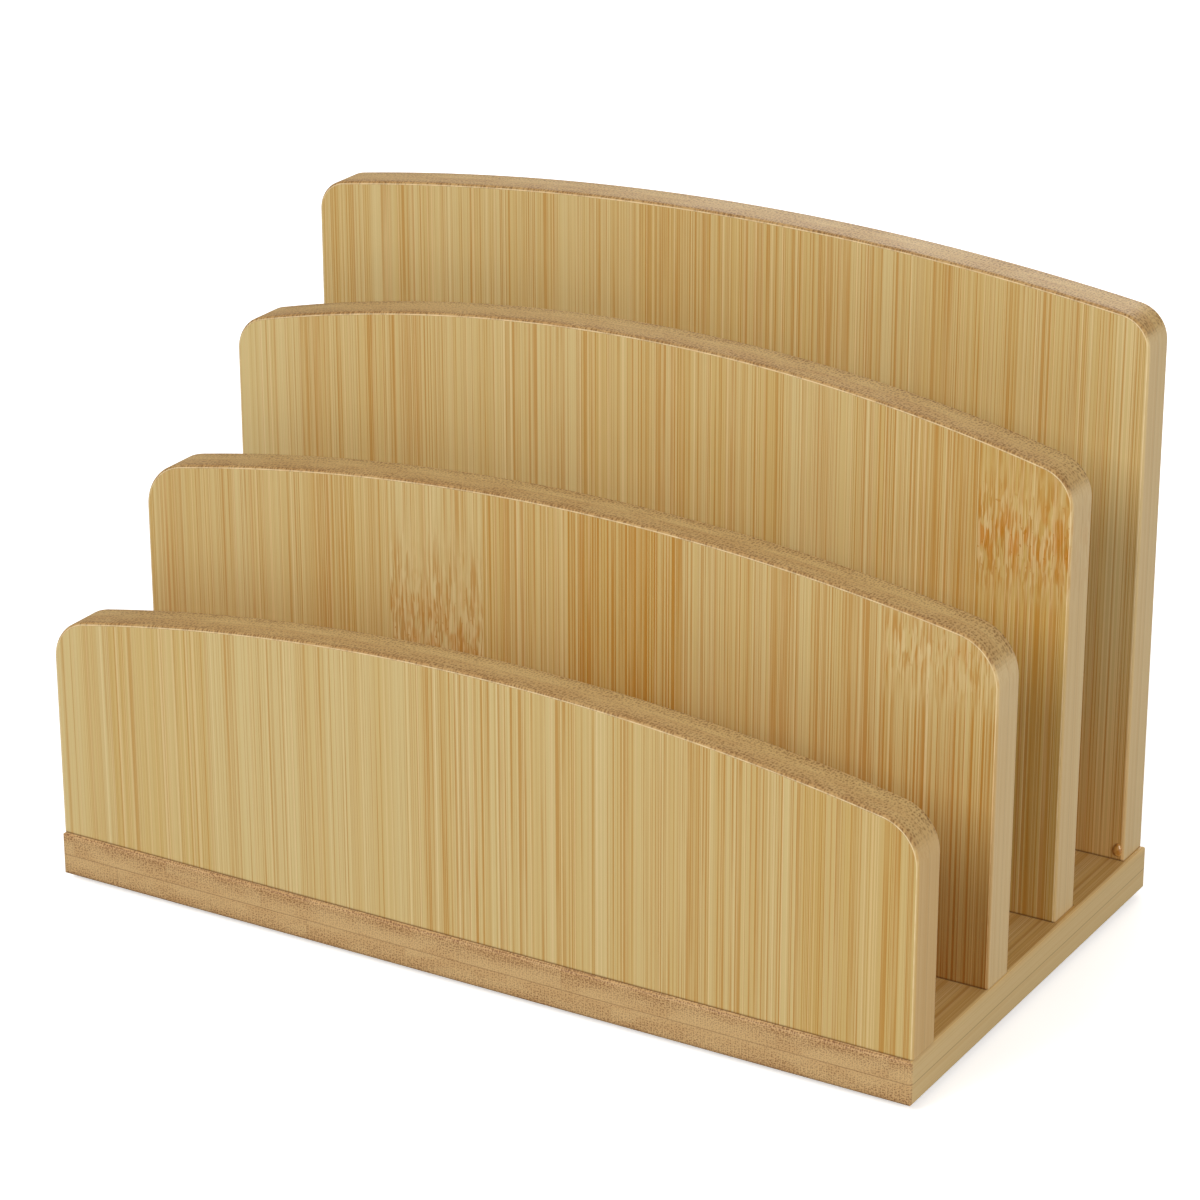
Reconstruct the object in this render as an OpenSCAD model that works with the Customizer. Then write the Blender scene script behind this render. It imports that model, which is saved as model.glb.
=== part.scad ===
// Letter sorter in solid bamboo: four arched upright panels stand on one flat base
// board and leave three slots between them, open at the top and at both ends.
// The origin is at the middle of the underside, +X runs to the right along the slots,
// +Y to the back and +Z up. All lengths are in millimetres.

/* [Base board] */
// Width of the base board, along the slots
base_w = 250; // [220:1:300]
// Thickness of the base board
base_t = 12; // [9:0.5:16]
// How far the front panel's face stands back from the base's front edge
front_setback = 1; // [0:0.5:8]
// How far the back panel's rear face stands in from the base's back edge
back_setback = 0; // [0:0.5:8]

/* [Upright panels] */
// Thickness of every upright panel
panel_t = 11.5; // [9:0.5:16]
// Clear width of each slot between two panels
slot_gap = 30; // [16:0.5:45]
// Height of the front panel above the base, at its crown
front_h = 72.5; // [55:0.5:95]
// Height of the second panel above the base, at its crown
second_h = 102.5; // [60:0.5:130]
// Height of the third panel above the base, at its crown
third_h = 134.5; // [60:0.5:165]
// Height of the back panel above the base, at its crown
back_h = 156.5; // [60:0.5:200]
// How far the front panel's ends stand in from the base's ends
front_inset = 0.25; // [0:0.25:6]
// How far the second panel's ends stand in from the base's ends
second_inset = 0.75; // [0:0.25:6]
// How far the third panel's ends stand in from the base's ends
third_inset = 2; // [0:0.25:6]
// How far the back panel's ends stand in from the base's ends
back_inset = 1.5; // [0:0.25:6]

/* [Arched tops] */
// Rise of the front panel's arch, from its ends to its crown
front_rise = 13; // [4:0.5:20]
// Rise of the second panel's arch
second_rise = 13; // [4:0.5:20]
// Rise of the third panel's arch
third_rise = 16; // [4:0.5:20]
// Rise of the back panel's arch
back_rise = 10; // [4:0.5:20]
// Radius of the front panel's rounded upper corners
front_corner_r = 12; // [5:0.5:18]
// Radius of the second panel's upper corners
second_corner_r = 13.5; // [5:0.5:18]
// Radius of the third panel's upper corners
third_corner_r = 10.5; // [5:0.5:18]
// Radius of the back panel's upper corners
back_corner_r = 9; // [5:0.5:18]
// Radius that eases the long edges of the panels
panel_ease = 0.8; // [0.3:0.1:2]
// Radius that eases the edges of the base board
base_ease = 1.2; // [0.3:0.1:2]

/* [Screws] */
// Distance of each screw from the end of the base
screw_inset = 52; // [40:1:80]
// Length of a screw, from the flat of its head to its tip
screw_l = 32; // [26:1:45]
// Diameter of the screw's plain shank
shank_d = 3.5; // [2.5:0.1:4.5]
// Diameter of the screw's threaded part, which fills its pilot hole
thread_d = 3; // [2:0.1:4]
// Diameter of the countersunk head
head_d = 7; // [6:0.1:8.5]
// Height of the straight rim at the edge of the head
head_rim = 0.4; // [0.2:0.1:0.8]
// Depth at which the head lies below the underside of the base
head_sink = 0.6; // [0.3:0.1:1.2]
// Depth of the cross recess in the head
recess_depth = 1.6; // [1:0.1:2]
// Span of the cross recess
recess_span = 3.8; // [3:0.1:4.6]
// Width of one arm of the cross recess
recess_w = 0.9; // [0.6:0.1:1.2]

/* [Dowels] */
// Distance of each dowel from the end of the base
dowel_inset = 24; // [16:1:32]
// Diameter of a dowel
dowel_d = 6; // [5:0.5:7]
// Depth to which a dowel stands in the base
dowel_in_base = 7; // [4:0.5:7.5]
// Depth to which a dowel stands in its panel
dowel_in_panel = 15; // [8:0.5:24]
// Length of the bevel on a dowel's ends
dowel_bevel = 0.8; // [0.4:0.1:1.2]

/* [Feet] */
// Diameter of an anti-slip foot
foot_d = 12; // [8:0.5:16]
// Thickness of an anti-slip foot
foot_t = 1.5; // [1:0.1:3]
// Distance from a foot's centre to the nearest side and end of the base
foot_inset = 13; // [10:0.5:20]
// Radius that rounds a foot's lower edge
foot_round = 0.5; // [0.2:0.1:0.8]

/* [Clearances] */
// Gap all round a screw's shank in the base
shank_clear = 0.15; // [0.05:0.05:0.4]
// Gap all round a screw's head in its countersink
head_clear = 0.1; // [0.05:0.05:0.4]
// Gap all round a dowel in its holes
dowel_clear = 0.05; // [0.02:0.01:0.2]
// Spare depth beyond the end of a dowel or a screw's tip
end_clear = 0.5; // [0.2:0.1:1.5]

/* [Hidden] */

// Places of the four panels, counted from the front
PANELS = [0, 1, 2, 3];
FRONT = PANELS[0];
SECOND = PANELS[1];
THIRD = PANELS[2];
BACK = PANELS[3];
SIDES = [-1, 1];
panel_h = [front_h, second_h, third_h, back_h];
panel_rise = [front_rise, second_rise, third_rise, back_rise];
panel_inset = [front_inset, second_inset, third_inset, back_inset];
panel_corner_r = [front_corner_r, second_corner_r, third_corner_r, back_corner_r];

// The base is as deep as its panels and slots need
pitch = panel_t + slot_gap;
base_d = front_setback + 4 * panel_t + 3 * slot_gap + back_setback;
base_z = foot_t;
floor_z = base_z + base_t;
dowel_l = dowel_in_base + dowel_in_panel;
shank_l = base_t - head_sink - head_rim;
shank_z = base_z + head_sink;
tip_l = thread_d;
foot_x = base_w / 2 - foot_inset;
foot_y = base_d / 2 - foot_inset;

board_color = [0.80, 0.66, 0.44];
panel_color = [0.84, 0.72, 0.50];
dowel_color = [0.78, 0.62, 0.42];
screw_color = [0.62, 0.62, 0.60];
foot_color = [0.15, 0.15, 0.16];
slop = 0.01;
ease_steps = 3;
corner_steps = 20;
arch_steps = 40;
$fn = 64;

// Width of panel i
function panel_w(i) = base_w - 2 * panel_inset[i];
// Middle of panel i's thickness
function panel_y(i) = -base_d / 2 + front_setback + panel_t / 2 + i * pitch;
// Radius of the arch that rises by rise over half a width of half
function arch_r(half, rise) = (half * half + rise * rise) / (2 * rise);
// Where panel i's screws and dowels stand along the base
function screw_x(side) = side * (base_w / 2 - screw_inset);
function dowel_x(side) = side * (base_w / 2 - dowel_inset);

// A rectangle w by d whose corners are rounded to r, centred on the origin
module rounded_rect(w, d, r) {
    square([w - 2 * r, d], center = true);
    square([w, d - 2 * r], center = true);
    for (x = SIDES, y = SIDES)
        translate([x * (w / 2 - r), y * (d / 2 - r)])
            circle(r);
}

// Points along an arc of radius r about (x, z), from angle a to angle b
function arc_points(x, z, r, a, b, steps) =
    [for (k = [0 : steps])
        let (turn = a + (b - a) * k / steps)
        [x + r * cos(turn), z + r * sin(turn)]];

// Outline of a panel w wide and h high at its crown, drawn inset inside its full size:
// two straight sides, an arc of corner_r at each upper corner and one long arch, each
// tangent to the next. A corner arc's centre lies on the line from the arch's centre to
// the point where the two arcs meet.
function panel_outline(w, h, rise, corner_r, inset) =
    let (
        half = w / 2,
        big_r = arch_r(half, rise),
        arch_z = h - big_r,
        x = half - corner_r,
        z = arch_z + sqrt(pow(big_r - corner_r, 2) - x * x),
        meet = acos(x / (big_r - corner_r)),
        step = (180 - 2 * meet) / arch_steps,
        r = corner_r - inset
    )
    concat(
        [[inset - half, 0], [half - inset, 0]],
        arc_points(x, z, r, 0, meet, corner_steps),
        arc_points(0, arch_z, big_r - inset, meet + step, 180 - meet - step, arch_steps - 2),
        arc_points(-x, z, r, 180 - meet, 180, corner_steps)
    );

// A flat board w by d by t with every edge eased, its underside at z = 0
module eased_board(w, d, t, ease) {
    translate([0, 0, t / 2])
        intersection() {
            linear_extrude(t + 2 * slop, center = true)
                rounded_rect(w, d, ease);
            rotate([90, 0, 0])
                linear_extrude(d + 2 * slop, center = true)
                    rounded_rect(w, t, ease);
            rotate([90, 0, 90])
                linear_extrude(w + 2 * slop, center = true)
                    rounded_rect(d, t, ease);
        }
}

// An upright panel w wide and h high at its crown, its bottom at z = 0. Its outline
// shrinks towards both faces along a quarter circle, which eases the sides and the top.
module arched_panel(w, h, rise, corner_r) {
    hull()
        for (k = [0 : ease_steps])
            let (
                turn = 90 * k / ease_steps,
                inset = panel_ease * (1 - cos(turn)),
                depth = panel_t / 2 - panel_ease * (1 - sin(turn))
            )
            rotate([90, 0, 0])
                linear_extrude(2 * depth, center = true)
                    polygon(panel_outline(w, h, rise, corner_r, inset));
}

// One countersunk wood screw, head down, the flat of its head at z = 0
module screw() {
    head_r = head_d / 2;
    shank_r = shank_d / 2;
    thread_r = thread_d / 2;
    neck_z = head_rim + head_r - shank_r;
    difference() {
        rotate_extrude()
            polygon([
                [0, 0], [head_r, 0], [head_r, head_rim], [shank_r, neck_z],
                [shank_r, shank_l], [thread_r, shank_l], [thread_r, screw_l - tip_l],
                [0, screw_l]
            ]);
        for (turn = [0, 90])
            rotate([0, 0, turn])
                translate([0, 0, recess_depth / 2 - slop])
                    cube([recess_span, recess_w, recess_depth], center = true);
    }
}

// The hole that a screw needs in the base: countersink below, clearance above
module screw_bore() {
    head_r = head_d / 2 + head_clear;
    shank_r = shank_d / 2 + shank_clear;
    rim_z = head_sink + head_rim;
    rotate_extrude()
        polygon([
            [0, -slop], [head_r, -slop], [head_r, rim_z],
            [shank_r, rim_z + head_r - shank_r], [shank_r, base_t + slop],
            [0, base_t + slop]
        ]);
}

// The pilot hole in a panel, from its bottom up, which the thread fills
module pilot_bore() {
    thread_in_panel = screw_l + head_sink - base_t;
    translate([0, 0, -slop])
        cylinder(d = thread_d, h = thread_in_panel + end_clear + slop);
}

// A round hole for a dowel, depth deep from z = 0 upwards or, with dir = -1, downwards
module dowel_bore(depth, dir) {
    bore_h = depth + end_clear + slop;
    translate([0, 0, dir > 0 ? -slop : slop - bore_h])
        cylinder(d = dowel_d + 2 * dowel_clear, h = bore_h);
}

// One dowel with bevelled ends, its lower end at z = 0
module dowel() {
    r = dowel_d / 2;
    rotate_extrude()
        polygon([
            [0, 0], [r - dowel_bevel, 0], [r, dowel_bevel],
            [r, dowel_l - dowel_bevel], [r - dowel_bevel, dowel_l], [0, dowel_l]
        ]);
}

// The flat base with its countersunk holes and dowel holes
module base_board() {
    color(board_color)
        difference() {
            translate([0, 0, base_z])
                eased_board(base_w, base_d, base_t, base_ease);
            for (i = PANELS, side = SIDES) {
                translate([screw_x(side), panel_y(i), base_z])
                    screw_bore();
                translate([dowel_x(side), panel_y(i), floor_z])
                    dowel_bore(dowel_in_base, -1);
            }
        }
}

// Panel i with the holes in its bottom edge
module panel(i) {
    color(panel_color)
        translate([0, panel_y(i), floor_z])
            difference() {
                arched_panel(panel_w(i), panel_h[i], panel_rise[i], panel_corner_r[i]);
                for (side = SIDES) {
                    translate([screw_x(side), 0, 0])
                        pilot_bore();
                    translate([dowel_x(side), 0, 0])
                        dowel_bore(dowel_in_panel, 1);
                }
            }
}

// The two screws that hold panel i
module panel_screws(i) {
    color(screw_color)
        for (side = SIDES)
            translate([screw_x(side), panel_y(i), shank_z])
                screw();
}

// The two dowels that line panel i up
module panel_dowels(i) {
    color(dowel_color)
        for (side = SIDES)
            translate([dowel_x(side), panel_y(i), floor_z - dowel_in_base])
                dowel();
}

// One anti-slip foot under the corner on sides sx and sy
module foot(sx, sy) {
    r = foot_d / 2;
    color(foot_color)
        translate([sx * foot_x, sy * foot_y, 0])
            rotate_extrude() {
                translate([0, foot_round])
                    square([r, foot_t - foot_round]);
                square([r - foot_round, foot_t]);
                translate([r - foot_round, foot_round])
                    circle(foot_round);
            }
}

base_board();
panel(FRONT);  // front_panel
panel(SECOND);  // second_panel
panel(THIRD);  // third_panel
panel(BACK);  // back_panel
panel_screws(FRONT);  // front_screws
panel_screws(SECOND);  // second_screws
panel_screws(THIRD);  // third_screws
panel_screws(BACK);  // back_screws
panel_dowels(FRONT);  // front_dowels
panel_dowels(SECOND);  // second_dowels
panel_dowels(THIRD);  // third_dowels
panel_dowels(BACK);  // back_dowels
foot(-1, -1);  // front_left_foot
foot(1, -1);  // front_right_foot
foot(-1, 1);  // back_left_foot
foot(1, 1);  // back_right_foot
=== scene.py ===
"""Dresses the four-panel bamboo letter sorter: boards, fasteners, feet and studio."""

from __future__ import annotations

import logging
import math
from dataclasses import dataclass, field, replace
from enum import Enum
from typing import Sequence

import bpy
import numpy as np
from mathutils import Matrix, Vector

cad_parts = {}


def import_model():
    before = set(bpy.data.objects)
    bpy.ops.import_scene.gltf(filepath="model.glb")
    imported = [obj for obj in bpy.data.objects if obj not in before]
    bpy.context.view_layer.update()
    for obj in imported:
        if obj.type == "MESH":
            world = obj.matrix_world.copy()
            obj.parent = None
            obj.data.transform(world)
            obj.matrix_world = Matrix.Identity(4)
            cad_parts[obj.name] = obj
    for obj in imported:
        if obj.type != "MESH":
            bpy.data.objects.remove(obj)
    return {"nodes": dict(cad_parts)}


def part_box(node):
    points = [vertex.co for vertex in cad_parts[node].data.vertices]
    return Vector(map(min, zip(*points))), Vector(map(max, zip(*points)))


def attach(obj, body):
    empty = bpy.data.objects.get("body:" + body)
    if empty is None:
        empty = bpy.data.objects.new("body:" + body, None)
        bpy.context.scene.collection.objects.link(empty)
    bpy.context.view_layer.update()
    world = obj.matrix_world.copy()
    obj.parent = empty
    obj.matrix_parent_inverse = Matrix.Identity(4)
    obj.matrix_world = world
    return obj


LOG = logging.getLogger("letter_sorter")
MM = 0.001
PER_M = 1000.0
# Farther than any place on the sorter, in mm
FAR = 1000.0
# The four panels from front to back, as the nodes' names begin
ROWS = ("front", "second", "third", "back")

Colour = tuple[float, float, float]
Socket = bpy.types.NodeSocket
Outputs = bpy.types.NodeOutputs
Value = float | Socket
Tint = Colour | Socket


def linear(red: int, green: int, blue: int) -> Colour:
    """Turns a display colour into the linear colour that shaders use.

    Args:
        red: Red, 0 to 255.
        green: Green, 0 to 255.
        blue: Blue, 0 to 255.

    Returns:
        The same colour in linear light, 0 to 1.
    """
    parts = np.array([red, green, blue]) / 255.0
    low, high = parts / 12.92, ((parts + 0.055) / 1.055) ** 2.4
    return tuple(float(c) for c in np.where(parts <= 0.04045, low, high))


class Axes(Enum):
    """Which object axis runs across, along and through the grain of a board."""

    UPRIGHT = ("X", "Z", "Y")
    FRONT_TO_BACK = ("X", "Y", "Z")


class Wiring:
    """Short ways to add and join the nodes of one node tree."""

    def __init__(self, tree: bpy.types.NodeTree) -> None:
        """Keeps the tree to which nodes are added."""
        self.tree = tree

    def node(self, kind: str, **settings: object) -> bpy.types.Node:
        """Adds a node and sets its properties.

        Args:
            kind: The node's type name without the leading ShaderNode.
            **settings: Property names and values.

        Returns:
            The new node.
        """
        made = self.tree.nodes.new("ShaderNode" + kind)
        for name, value in settings.items():
            setattr(made, name, value)
        return made

    def feed(self, socket: Socket, value: object) -> None:
        """Joins a socket to another, or sets its own value.

        Args:
            socket: The input socket.
            value: An output socket, a number, a colour or a vector.
        """
        if isinstance(value, Socket):
            self.tree.links.new(value, socket)
        elif isinstance(value, (tuple, list)) and socket.type == "RGBA" and len(value) == 3:
            socket.default_value = (*value, 1.0)
        else:
            socket.default_value = value

    def math(self, kind: str, a: Value, b: Value = 0.0, c: Value = 0.0) -> Socket:
        """Adds a Math node.

        Args:
            kind: The operation.
            a: First value.
            b: Second value.
            c: Third value, where the operation has one.

        Returns:
            The node's output.
        """
        made = self.node("Math", operation=kind)
        for socket, value in zip(made.inputs, (a, b, c)):
            self.feed(socket, value)
        return made.outputs[0]

    def times(self, a: Value, b: Value) -> Socket:
        """Multiplies two values."""
        return self.math("MULTIPLY", a, b)

    def over(self, a: Value, b: Value) -> Socket:
        """Divides the first value by the second."""
        return self.math("DIVIDE", a, b)

    def line(self, value: Value, slope: Value, start: Value) -> Socket:
        """Works out slope times value plus start."""
        return self.math("MULTIPLY_ADD", value, slope, start)

    def band(
        self, value: Value, low: float, high: float, start: Value = 0.0, end: Value = 1.0
    ) -> Socket:
        """Maps low to start and high to end along a smooth step, and holds beyond them.

        Args:
            value: The value to map.
            low: Value at which the step starts.
            high: Value at which the step ends.
            start: Result at or below low.
            end: Result at or above high.

        Returns:
            The mapped value.
        """
        made = self.node("MapRange", interpolation_type="SMOOTHSTEP")
        for name, given in (
            ("Value", value),
            ("From Min", low),
            ("From Max", high),
            ("To Min", start),
            ("To Max", end),
        ):
            self.feed(made.inputs[name], given)
        return made.outputs["Result"]

    def vector(self, x: Value, y: Value, z: Value) -> Socket:
        """Joins three values into one vector.

        Args:
            x: First part.
            y: Second part.
            z: Third part.

        Returns:
            The vector.
        """
        made = self.node("CombineXYZ")
        for socket, value in zip(made.inputs, (x, y, z)):
            self.feed(socket, value)
        return made.outputs[0]

    def paced(
        self, across: Value, along: Value, deep: Value, pace: tuple[float, float]
    ) -> Socket:
        """Joins a place whose first two parts are multiplied by a pace, in waves per mm.

        Args:
            across: First part, in mm.
            along: Second part, in mm.
            deep: Third part, kept as it is.
            pace: Waves per mm across and along.

        Returns:
            The vector.
        """
        return self.vector(self.times(across, pace[0]), self.times(along, pace[1]), deep)

    def parts(self, vector: Socket) -> dict[str, Socket]:
        """Splits a vector.

        Args:
            vector: The vector to split.

        Returns:
            Its parts under X, Y and Z.
        """
        made = self.node("SeparateXYZ")
        self.feed(made.inputs[0], vector)
        return {name: made.outputs[name] for name in "XYZ"}

    def noise(self, place: Socket, detail: float = 2.0, rough: float = 0.5) -> Socket:
        """Adds a soft noise with one bump for each unit of place.

        Args:
            place: Where the noise is read, already scaled.
            detail: Number of finer layers.
            rough: Strength of each finer layer.

        Returns:
            A value around 0.5.
        """
        made = self.node("TexNoise", noise_dimensions="3D")
        self.feed(made.inputs["Vector"], place)
        made.inputs["Scale"].default_value = 1.0
        made.inputs["Detail"].default_value = detail
        made.inputs["Roughness"].default_value = rough
        return made.outputs["Fac"]

    def blend(self, amount: Value, a: Tint, b: Tint, kind: str = "MIX") -> Socket:
        """Mixes two colours.

        Args:
            amount: Share of the second colour.
            a: First colour.
            b: Second colour.
            kind: How they mix.

        Returns:
            The mixed colour.
        """
        made = self.node("Mix", data_type="RGBA", blend_type=kind)
        self.feed(made.inputs[0], amount)
        self.feed(made.inputs[6], a)
        self.feed(made.inputs[7], b)
        return made.outputs[2]


@dataclass(frozen=True)
class Port:
    """One input or output of a shader group."""

    name: str
    kind: str = "NodeSocketFloat"
    value: float | None = None


class ShaderGroup:
    """A shared effect: a node group with named inputs and outputs, built once."""

    title: str = ""
    inputs: Sequence[Port] = ()
    outputs: Sequence[Port] = ()

    def build(self, wire: Wiring, given: Outputs) -> dict[str, Socket]:
        """Wires the inside of the group. Each effect has its own.

        Args:
            wire: Adds nodes to the group's tree.
            given: The group's inputs, by name.

        Returns:
            What feeds each output, by name.
        """
        raise NotImplementedError

    def tree(self) -> bpy.types.NodeTree:
        """Finds the group's tree, or makes it the first time.

        Returns:
            The node tree.
        """
        found = bpy.data.node_groups.get(self.title)
        if found is not None:
            return found
        made = bpy.data.node_groups.new(self.title, "ShaderNodeTree")
        for way, ports in (("INPUT", self.inputs), ("OUTPUT", self.outputs)):
            for port in ports:
                socket = made.interface.new_socket(port.name, in_out=way, socket_type=port.kind)
                if port.value is not None:
                    socket.default_value = port.value
        wire = Wiring(made)
        start, end = made.nodes.new("NodeGroupInput"), made.nodes.new("NodeGroupOutput")
        for name, value in self.build(wire, start.outputs).items():
            wire.feed(end.inputs[name], value)
        return made

    def place(self, wire: Wiring, **values: object) -> Outputs:
        """Puts the group into a material.

        Args:
            wire: Adds nodes to the material's tree.
            **values: Inputs, with an underscore for each space of their names.

        Returns:
            The group's outputs, by name.
        """
        made = wire.node("Group", node_tree=self.tree())
        for name, value in values.items():
            wire.feed(made.inputs[name.replace("_", " ")], value)
        return made.outputs


class GrowthRing(ShaderGroup):
    """Mask of the short broken fibres around one growth ring of a strip."""

    title = "growth_ring"
    inputs = (
        Port("Across"),
        Port("Along"),
        Port("Left"),
        Port("Right"),
        Port("Height"),
        Port("Reach Up"),
        Port("Reach Down"),
        Port("Strength"),
    )
    outputs = (Port("Mask"),)

    def build(self, wire: Wiring, given: Outputs) -> dict[str, Socket]:
        """Inside the strip's width, the mask falls from 1 at the ring to 0 at each reach.

        Args:
            wire: Adds nodes to the group's tree.
            given: The group's inputs.

        Returns:
            The mask.
        """
        inside = wire.times(
            wire.math("GREATER_THAN", given["Across"], given["Left"]),
            wire.math("LESS_THAN", given["Across"], given["Right"]),
        )
        rise = wire.math("SUBTRACT", given["Along"], given["Height"])
        up = wire.over(rise, given["Reach Up"])
        down = wire.over(wire.times(rise, -1.0), given["Reach Down"])
        fall = wire.band(wire.math("MAXIMUM", up, down), 0.0, 1.0, 1.0, 0.0)
        shown = wire.times(inside, given["Strength"])
        return {"Mask": wire.times(fall, shown)}


class EdgeShine(ShaderGroup):
    """Mask of a thin pale line along the eased edges: a painted highlight, where light catches
    the ease.
    """

    title = "painted_edge_highlight"
    inputs = (Port("Through"), Port("Half Thickness"), Port("Ease"), Port("Wear"))
    outputs = (Port("Mask"),)
    begins = (0.01, 0.03)
    ends = (0.07, 0.15, 1.0, 0.0)
    worn = (0.35, 0.6, 0.6, 1.0)

    def build(self, wire: Wiring, given: Outputs) -> dict[str, Socket]:
        """The line lies where the surface is 1 to 15 per cent of the ease below the face.

        Args:
            wire: Adds nodes to the group's tree.
            given: The group's inputs. Wear, 0 to 1, makes the line weaker in places.

        Returns:
            The mask.
        """
        out = wire.math("ABSOLUTE", given["Through"])
        depth = wire.math("SUBTRACT", given["Half Thickness"], out)
        share = wire.over(depth, given["Ease"])
        line = wire.times(wire.band(share, *self.begins), wire.band(share, *self.ends))
        return {"Mask": wire.times(line, wire.band(given["Wear"], *self.worn))}


class JointLine(ShaderGroup):
    """Mask of a thin dark line, where glue and dirt sit in a joint."""

    title = "joint_line"
    inputs = (Port("Distance"), Port("Width", value=0.2))
    outputs = (Port("Mask"),)

    def build(self, wire: Wiring, given: Outputs) -> dict[str, Socket]:
        """The mask falls from 1 on the line to 0 at its width.

        Args:
            wire: Adds nodes to the group's tree.
            given: The group's inputs.

        Returns:
            The mask.
        """
        away = wire.math("ABSOLUTE", given["Distance"])
        share = wire.over(away, given["Width"])
        return {"Mask": wire.band(share, 0.0, 1.0, 1.0, 0.0)}


@dataclass(frozen=True)
class Streak:
    """A noise drawn out along the grain, in mm, and the smooth step that it passes through.

    The step holds where it starts and ends, and then the values there if not 0 and 1.
    """

    wide: float
    long: float
    salt: float
    step: tuple[float, ...]
    detail: float = 1.0
    rough: float = 0.5


class Grain(Enum):
    """The streaks of the long grain, widest first."""

    GROUND = Streak(7.0, 3600.0, 3.0, (0.39, 0.61, -0.18, 0.18), 5.0, 0.9)
    CLUSTER = Streak(6.0, 2600.0, 17.0, (0.36, 0.64))
    PATCH = Streak(3.2, 2600.0, 67.0, (0.42, 0.6, 0.25, 1.0), 2.0)
    BURNT = Streak(2.6, 7.0, 83.0, (0.4, 0.62), 2.0)
    FADE = Streak(1.1, 55.0, 29.0, (0.3, 0.58, 0.4, 1.0), 2.0)
    GAP = Streak(0.9, 7.5, 41.0, (0.5, 0.6))
    SPECK = Streak(0.9, 1.3, 61.0, (0.76, 0.8), 0.0)
    SHEEN = Streak(0.5, 2600.0, 53.0, (0.56, 0.66, 0.0, 0.36))
    STROKE = Streak(0.48, 9.0, 37.0, (0.5, 0.56))
    FAR_STROKE = Streak(0.48, 30.0, 71.0, (0.5, 0.56))
    BOLD = Streak(0.46, 2600.0, 11.0, (0.6, 0.64), 2.0, 0.6)
    FINE = Streak(0.36, 1500.0, 23.0, (0.53, 0.6))


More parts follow.
